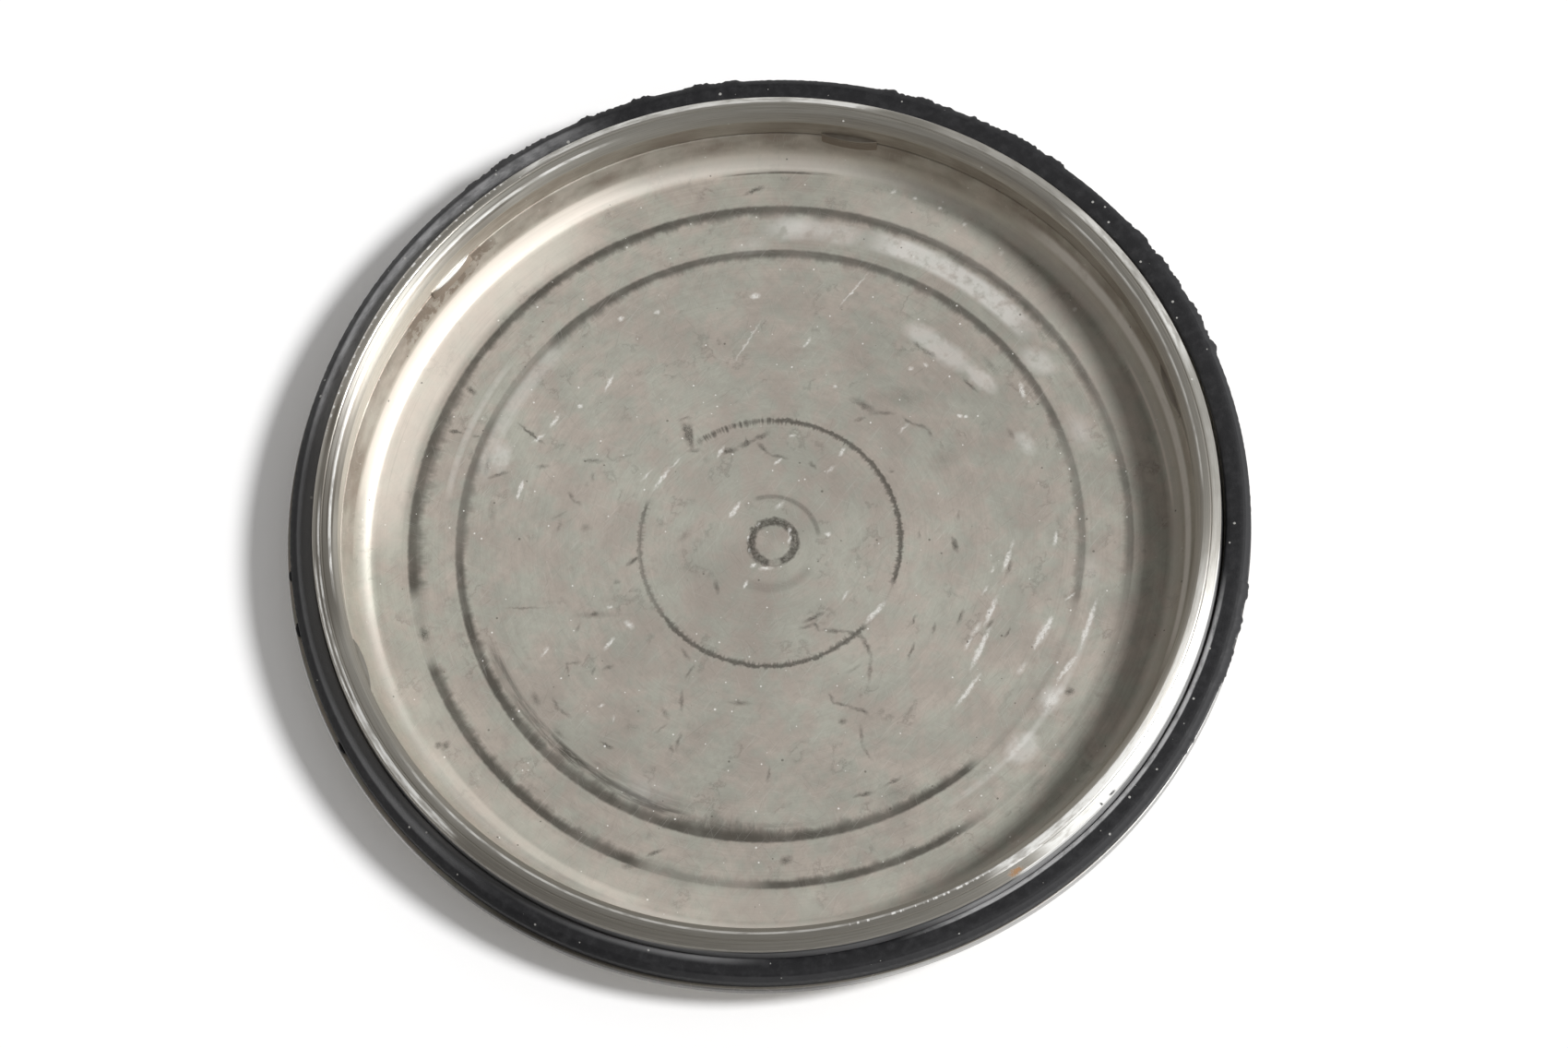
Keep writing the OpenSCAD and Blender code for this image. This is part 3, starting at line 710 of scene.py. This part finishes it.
def seal_rubber():
    t = Polar("seal_rubber")
    grain = t.noise(t.place, 9.0, 3.0, 0.6)
    blotch = t.noise(t.place, 1.3, 4.0, 0.65)
    colour = t.mix(t.ramp(blotch, 0.40, 0.80), *RUBBER_TONES)
    colour = t.mix(seal_dust_and_light(t), colour, rgb(0.36, 0.36, 0.365))
    rubbed = t.product(t.sector(315, 55, 20), t.ramp(t.height, SEAL_Z - 0.1, SEAL_Z - 0.2))
    colour = t.mix(t.product(rubbed, 0.5), colour, BLACK)
    specks = t.largest(t.specks(1.4, 0.13, 0.78), t.specks(0.9, 0.16, 0.90))
    specks = t.product(specks, t.ramp(t.height, SEAL_Z - 0.5, SEAL_Z - 0.1))
    colour = t.mix(specks, colour, rgb(0.36, 0.355, 0.34))
    rough = t.ramp(blotch, 0.3, 0.8, 0.52, 0.75)
    inputs = {"Specular IOR Level": 0.3, "Base Color": colour, "Roughness": rough}
    return t.finish(t.node("BsdfPrincipled", inputs), [(0.03, grain), (0.02, blotch)])


# Meshes
def arc(centre, radius, start, end, steps):
    """Points on an arc, with angles in degrees."""
    angles = np.radians(np.linspace(start, end, steps + 1))
    return [(centre[0] + radius * math.cos(a), centre[1] + radius * math.sin(a)) for a in angles]


def line(start, end, steps):
    """Points from start up to, but without, end."""
    return [tuple(np.array(start) + (np.array(end) - np.array(start)) * i / steps) for i in range(steps)]


def closed_loop(points, spacing):
    """A closed outline with rows about spacing apart."""
    closed = []
    for start, end in zip(points, points[1:] + points[:1]):
        closed += line(start, end, max(1, int(math.dist(start, end) / spacing)))
    return closed


def ring_noise(theta, slowest, fastest, seed):
    """Noise round a ring, about -1 to 1, made of waves from slowest to fastest per turn."""
    draw = np.random.default_rng(seed)
    waves = np.unique(np.geomspace(slowest, fastest, 40).astype(int))
    total = np.zeros_like(theta)
    for k in waves:
        total += np.cos(k * theta + draw.uniform(0, 2 * math.pi))
    return total / math.sqrt(len(waves))


def lathe(profile, segments, shape=None):
    """Vertices and faces of a profile (r, z) swept round Z. Points with r 0 become poles.

    A profile with poles runs from the axis to the axis; one without is a closed loop.
    shape may change the grids of radius and height, given the angles of the columns.
    """
    points = np.array(profile, float)
    pole = points[:, 0] < 1e-9
    body = points[~pole]
    theta = np.arange(segments) * 2 * math.pi / segments
    radius, height = (np.tile(row[:, None], (1, segments)) for row in body.T)
    if shape:
        radius, height = shape(theta[None, :], radius, height)
    grid = np.stack([radius * np.cos(theta), radius * np.sin(theta), height], -1)
    verts = grid.reshape(-1, 3).tolist()
    rows = len(body)
    column = np.arange(segments)
    after = np.roll(column, -1)
    faces = []
    for i in range(rows if not pole.any() else rows - 1):
        a, b = i * segments, (i + 1) % rows * segments
        faces += np.stack([a + column, b + column, b + after, a + after], 1)[:, ::-1].tolist()
    if pole.any():
        first, last = len(verts), len(verts) + 1
        verts += [[0, 0, points[0][1]], [0, 0, points[-1][1]]]
        end = (rows - 1) * segments
        faces += np.stack([np.full(segments, first), column, after], 1).tolist()
        faces += np.stack([np.full(segments, last), end + after, end + column], 1).tolist()
    return verts, faces


def add_mesh(name, parts, material, body, node, sharp=30):
    """Joins parts (vertices in millimetres, faces) into one piece that stands for a CAD node."""
    verts, faces = [], []
    for part_verts, part_faces in parts:
        base = len(verts)
        verts += [[c * MM for c in v] for v in part_verts]
        faces += [[base + i for i in f] for f in part_faces]
    mesh = bpy.data.meshes.new(name)
    mesh.from_pydata(verts, [], faces)
    mesh.validate()
    mesh.shade_smooth()
    mesh.set_sharp_from_angle(angle=math.radians(sharp))
    mesh.materials.append(material)
    piece = add_object(name, mesh)
    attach(piece, body)
    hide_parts(node)


# Marks turned into the floor: (radius, half width, depth)
FLOOR_MARKS = ((MARK_R, 0.25, 0.04), (SCRIBE_R, 0.15, 0.006), *((r, 0.45, 0.012) for r in GROOVES))
MOUTH_ROUND = 0.2
LIP_ROUND = 0.2
# Rows of the pan's mesh: first radius and spacing on the floor, steps across a mark, last radius below
FLOOR_START = 0.3
FLOOR_ROW = 1.0
MARK_STEPS = 8
UNDER_END = 2
# Columns round each ring
PAN_COLUMNS = 540
NECK_COLUMNS = 720
SEAL_COLUMNS = 1440


def pan_profile():
    """Half section of the pan: the floor with its marks, the wall, the flange and the underside."""
    lean = math.radians(WALL_LEAN)
    slope = math.radians(CREASE_SLOPE)
    sweep = (FLOOR_R - SWEEP_R * math.sin(slope), FLOOR_Z + SWEEP_R * math.cos(slope))
    mouth = (BORE_R + MOUTH_ROUND * (1 - math.sin(lean)) / math.cos(lean), FLANGE_Z - MOUTH_ROUND)
    lip = LIP_ROUND
    under_corner = (BORE_R + SHEET * (1 - math.sin(lean)) / math.cos(lean), FLANGE_Z - SHEET)
    under_crease = (FLOOR_R + SHEET * math.tan(slope / 2), 0)
    floor = [(0, FLOOR_Z)]
    at = FLOOR_START
    for radius, half, depth in FLOOR_MARKS:
        steps = max(2, int((radius - half - at) / FLOOR_ROW))
        floor += line((at, FLOOR_Z), (radius - half, FLOOR_Z), steps)
        for i in range(MARK_STEPS + 1):
            u = i / MARK_STEPS * 2 - 1
            floor.append((radius + u * half, FLOOR_Z - depth * math.cos(u * math.pi / 2) ** 2))
        at = radius + half + 0.05
    floor += line((at, FLOOR_Z), (FLOOR_R, FLOOR_Z), 8)
    top = floor + arc(sweep, SWEEP_R, CREASE_SLOPE - 90, -WALL_LEAN, 14)
    top += line(top[-1], arc(mouth, MOUTH_ROUND, 180 - WALL_LEAN, 90, 1)[0], 6)[1:]
    top += arc(mouth, MOUTH_ROUND, 180 - WALL_LEAN, 90, 6)
    top += line((mouth[0] + 0.4, FLANGE_Z), (FLANGE_R - lip, FLANGE_Z), 8)
    edge = arc((FLANGE_R - lip, FLANGE_Z - lip), lip, 90, 0, 6)
    edge += arc((FLANGE_R - lip, FLANGE_Z - SHEET + lip), lip, 0, -90, 6)
    under = line((FLANGE_R - lip - 0.3, FLANGE_Z - SHEET), under_corner, 4) + [under_corner]
    under += arc(sweep, SWEEP_R + SHEET, -WALL_LEAN, CREASE_SLOPE - 90, 12)
    under += line(under_crease, (UNDER_END, 0), 12) + [(UNDER_END, 0), (0, 0)]
    return top + edge + under


# The ring round the centre is moved whole, and the floor between these radii takes up the shift
SHIFT_WHOLE = 2.6
SHIFT_END = 5.0


def pan_shape(theta, radius, height):
    """Moves the ring round the centre a little off the axis."""
    inside = np.clip((SHIFT_END - radius) / (SHIFT_END - SHIFT_WHOLE), 0, 1)
    shift = MARK_SHIFT[0] * np.cos(theta) + MARK_SHIFT[1] * np.sin(theta)
    return radius + np.where(height > FLOOR_Z / 2, inside * shift, 0), height


def add_pan():
    parts = [lathe(pan_profile(), PAN_COLUMNS, pan_shape)]
    add_mesh("pan_skin", parts, pan_metal(), "tin", "pan")


def neck_profile():
    """Section of the neck ring: taper, spigot, outer bevel, fine groove, inner bevel, bore and foot."""
    inner = 0.6
    outer_w = 0.75
    outer_h = 0.25
    groove_w = 0.2
    groove_depth = 0.06
    foot = 0.3
    ease = 0.06
    points = [
        (BORE_R + foot, FLANGE_Z),
        (TAPER_R, FLANGE_Z),
        (SPIGOT_R, SEAL_Z + 0.2),
        (SPIGOT_R, RIM_Z - outer_h - ease),
        (SPIGOT_R - ease, RIM_Z - outer_h),
        (SPIGOT_R - outer_w, RIM_Z - 0.01),
        (SPIGOT_R - outer_w - groove_w / 2, RIM_Z - groove_depth),
        (SPIGOT_R - outer_w - groove_w, RIM_Z),
        (BORE_R + inner + 0.08, RIM_Z),
        (BORE_R + inner, RIM_Z - ease / 2),
        (BORE_R + ease / 2, RIM_Z - inner),
        (BORE_R, RIM_Z - inner - ease),
        (BORE_R, FLANGE_Z + foot),
    ]
    return closed_loop(points, 0.4)


def lug(angle):
    """One lug on the bore: a ledge that stands in, and a tongue that hangs down along the wall.

    Its section is (distance out from the bore, height over the flange), drawn in towards both ends.
    """
    inner = -0.5
    ledge = 0.7
    drop = 0.9
    gap = 0.05
    sunk = 0.25
    section = (
        (sunk, ledge), (inner + 0.14, ledge), (inner + 0.04, ledge - 0.04), (inner, ledge - 0.14),
        (inner + 0.06, 0.1), (inner + 0.18, -0.15), (-gap - 0.06, -drop), (-gap, -drop), (-gap, 0),
        (sunk, 0.02),
    )
    lean = math.tan(math.radians(WALL_LEAN))
    half = math.asin(LUG_W / 2 / BORE_R)
    steps = 24
    verts, faces = [], []
    for i in range(steps + 1):
        u = math.sin((i / steps - 0.5) * math.pi)
        full = 0.02 + 0.98 * (1 - u * u) ** 0.8
        turn = math.radians(angle) + half * u
        for out, up in section:
            out = out if out > 0 else -gap + (out + gap) * full
            up = up if up > 0 else up * (0.6 + 0.4 * full)
            radius = BORE_R + out + min(up, 0) * lean
            verts.append([radius * math.cos(turn), radius * math.sin(turn), FLANGE_Z + up])
    n = len(section)
    for i in range(steps):
        for k in range(n):
            a, b = i * n + k, i * n + (k + 1) % n
            faces.append([a, b, b + n, a + n])
    faces.append(list(range(n))[::-1])
    faces.append([steps * n + k for k in range(n)])
    return verts, faces


def add_neck():
    parts = [lathe(neck_profile(), NECK_COLUMNS)]
    parts += [lug(LUG_FIRST + i * 360 / LUG_COUNT) for i in range(LUG_COUNT)]
    add_mesh("neck_skin", parts, neck_metal(), "tin", "neck_ring", sharp=25)


# Stretches of the seal's outer edge that have crumbled: (direction, half angle), in degrees
CRUMBLED = ((17, 6), (27, 5), (48, 7), (62, 5), (87, 4), (99, 5), (110, 3), (116, 4), (320, 2), (335, 8))
# Flakes of rubber on the flange: (direction in degrees, length in millimetres)
FLAKES = ((175, 0.5), (182, 0.7), (198, 0.6))


def seal_profile():
    """Section of the seal ring, with its inner wall leaning in along the neck's taper."""
    bevel = 0.14
    chamfer_w = 0.6
    chamfer_h = 0.5
    soft = 0.08
    top_in = SEAL_IN - 0.16
    points = [
        (SEAL_IN, FLANGE_Z),
        (SEAL_OUT, FLANGE_Z),
        (SEAL_OUT, SEAL_Z - chamfer_h - soft),
        (SEAL_OUT - soft / 2, SEAL_Z - chamfer_h + soft / 2),
        (SEAL_OUT - chamfer_w + soft / 2, SEAL_Z - soft / 2),
        (SEAL_OUT - chamfer_w - soft, SEAL_Z),
        (top_in + bevel + soft, SEAL_Z),
        (top_in + bevel - soft / 2, SEAL_Z - soft / 2),
        (top_in + soft / 2, SEAL_Z - bevel),
        (top_in, SEAL_Z - bevel - soft),
    ]
    return closed_loop(points, 0.3)


def crumbled(theta):
    """1 in the middle of a crumbled stretch and 0 outside them all."""
    amount = np.zeros_like(theta)
    for direction, half in CRUMBLED:
        off = np.abs((np.degrees(theta) - direction + 180) % 360 - 180)
        amount = np.maximum(amount, np.clip((half - off) / 0.8, 0, 1))
    return amount


def seal_shift(theta):
    """How far the ring, which lies off centre, stands out in a direction."""
    return SEAL_SHIFT[0] * np.cos(theta) + SEAL_SHIFT[1] * np.sin(theta)


def seal_shape(theta, radius, height):
    """Shifts the ring on the neck and breaks up its outer edge."""
    share = np.clip((radius - SEAL_IN) / (SEAL_OUT - SEAL_IN), 0, 1)
    shift = seal_shift(theta)
    shift = np.where(share < 0.5, np.maximum(shift, -0.05), shift)
    blocks = np.tanh(4 * ring_noise(theta, 30, 110, 3))
    teeth = ring_noise(theta, 180, 620, 5)
    rough = crumbled(theta) * (0.15 + 0.09 * blocks + 0.045 * teeth) + 0.014 * teeth
    edge = np.clip((share - 0.72) / 0.28, 0, 1) * np.clip((height - FLANGE_Z) / 0.4, 0, 1)
    wavy = 0.015 * ring_noise(theta, 8, 60, 7) * np.clip((height - FLANGE_Z) / 1.0, 0, 1)
    return radius + shift + edge * rough, height + wavy * (1 - share)


def lump(direction, radius, height, size, seed):
    """A small closed crumb of rubber, longer round the ring than across it."""
    draw = np.random.default_rng(seed)
    blob = bmesh.new()
    bmesh.ops.create_icosphere(blob, subdivisions=2, radius=1.0)
    cos, sin = math.cos(math.radians(direction)), math.sin(math.radians(direction))
    verts = []
    for v in blob.verts:
        x, y, z = np.array(v.co) * size * draw.uniform(0.75, 1.15, 3)
        x += radius
        verts.append([x * cos - y * sin, x * sin + y * cos, height + z])
    faces = [[v.index for v in f.verts] for f in blob.faces]
    blob.free()
    return verts, faces


def crumbs():
    """Crumbs along the crumbled stretches, and three flakes that lie on the flange at the left."""
    draw = np.random.default_rng(11)
    made = []
    for direction, half in CRUMBLED:
        for _ in range(int(half)):
            at = direction + draw.uniform(-half, half)
            edge = SEAL_OUT + seal_shift(math.radians(at))
            size = np.array((1.0, 1.4, 0.8)) * draw.uniform(0.05, 0.13)
            made.append(lump(at, edge - 0.05, draw.uniform(SEAL_Z - 1.0, SEAL_Z - 0.45), size, len(made)))
    for at, length in FLAKES:
        edge = SEAL_OUT + seal_shift(math.radians(at))
        made.append(lump(at, edge + 0.12, FLANGE_Z + 0.25, np.array((0.2, length, 0.25)), len(made)))
    return made


def add_seal():
    parts = [lathe(seal_profile(), SEAL_COLUMNS, seal_shape)] + crumbs()
    add_mesh("seal_skin", parts, seal_rubber(), "seal", "seal_ring", sharp=50)


# Stage and light
# Half width of the paper in metres, and the light added where it is seen, so that it shows white
PAPER_HALF = 4.0
PAPER_LIFT = 0.10


def add_floor():
    corners = [(x * PAPER_HALF, y * PAPER_HALF, 0) for x, y in ((-1, -1), (1, -1), (1, 1), (-1, 1))]
    mesh = bpy.data.meshes.new("floor")
    mesh.from_pydata(corners, [], [(0, 1, 2, 3)])
    floor = add_object("floor", mesh)
    material = bpy.data.materials.new("paper")
    material.use_nodes = True
    t = Shader(material.node_tree)
    paper = t.node("BsdfDiffuse", {"Color": rgb(0.89, 0.89, 0.895)})
    path = t.node("LightPath")
    seen = t.math("ADD", path.outputs["Is Camera Ray"], path.outputs["Is Glossy Ray"])
    seen = t.math("ADD", seen, path.outputs["Is Transmission Ray"], clamp=True)
    lift = t.node("Emission", {"Color": rgb(1, 1, 1), "Strength": t.product(seen, PAPER_LIFT)})
    both = t.node("AddShader", {0: paper.outputs[0], 1: lift.outputs[0]})
    t.node("OutputMaterial", {"Surface": both.outputs[0]})
    mesh.materials.append(material)


KEY_AZIMUTH = math.radians(-13)
KEY_ELEVATION = math.radians(47.5)
KEY_SIZE = math.radians(14)
KEY_STRENGTH = 3.17


def add_key():
    data = bpy.data.lights.new("key", "SUN")
    data.energy = KEY_STRENGTH
    data.angle = KEY_SIZE
    key = add_object("key", data)
    back = Vector((math.cos(KEY_AZIMUTH) * math.cos(KEY_ELEVATION),
                   math.sin(KEY_AZIMUTH) * math.cos(KEY_ELEVATION), math.sin(KEY_ELEVATION)))
    key.rotation_mode = "QUATERNION"
    key.rotation_quaternion = back.to_track_quat("Z", "Y")


def add_world():
    world = bpy.data.worlds.new("studio")
    world.use_nodes = True
    bpy.context.scene.world = world
    t = Shader(world.node_tree)
    way = t.node("SeparateXYZ", {0: t.node("TexCoord").outputs["Generated"]})
    ramp = t.node("ValToRGB", {0: t.linear(way.outputs["X"], 0.5, 0.5)})
    stops = ((0.0, rgb(0.19, 0.18, 0.17)), (0.25, rgb(0.20, 0.19, 0.18)), (0.42, rgb(0.25, 0.245, 0.235)),
             (0.5, rgb(0.31, 0.307, 0.30)), (0.75, rgb(0.43, 0.43, 0.425)), (1.0, rgb(0.55, 0.55, 0.55)))
    elements = ramp.color_ramp.elements
    while len(elements) < len(stops):
        elements.new(0.5)
    for element, (position, colour) in zip(elements, stops):
        element.position = position
        element.color = colour
    background = t.node("Background", {"Color": ramp.outputs[0], "Strength": 1.0})
    t.node("OutputWorld", {"Surface": background.outputs[0]})


add_camera()
add_pan()
add_neck()
add_seal()
add_floor()
add_key()
add_world()
bpy.context.scene.view_settings.view_transform = "Standard"
